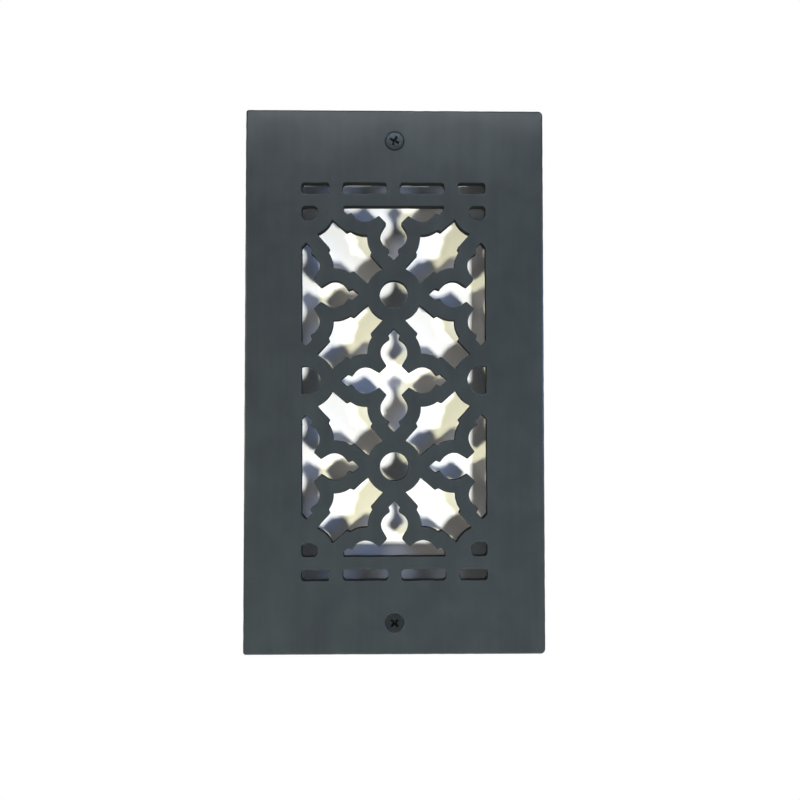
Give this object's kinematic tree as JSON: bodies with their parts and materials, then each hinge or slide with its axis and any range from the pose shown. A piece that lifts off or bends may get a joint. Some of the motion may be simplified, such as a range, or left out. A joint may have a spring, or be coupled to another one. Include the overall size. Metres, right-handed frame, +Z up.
{
  "type": "wall grille",
  "caption": "Flat cast metal wall grille, pierced with a lattice of crosses, circles and petals between rows of slots, screwed to the wall over a duct opening.",
  "frame": {"origin": "on the flat back face, on the vertical centre line, in the solid upper margin between the screw hole and the row of slots", "axes": "+X to the right as seen from the front, +Y into the wall, +Z up; the decorated front faces -Y"},
  "size_m": [0.1396, 0.0382, 0.254],
  "materials": {
    "cast_plate": "satin charcoal coating with a blue-grey cast, baked onto fine smooth casting, faintly mottled",
    "black_screw": "blackened steel, half matt, with bare-looking edges at the recess"
  },
  "bodies": {
    "root": {"grille_plate": "cast_plate", "upper_screw": "black_screw", "lower_screw": "black_screw"}
  },
  "joints": []
}
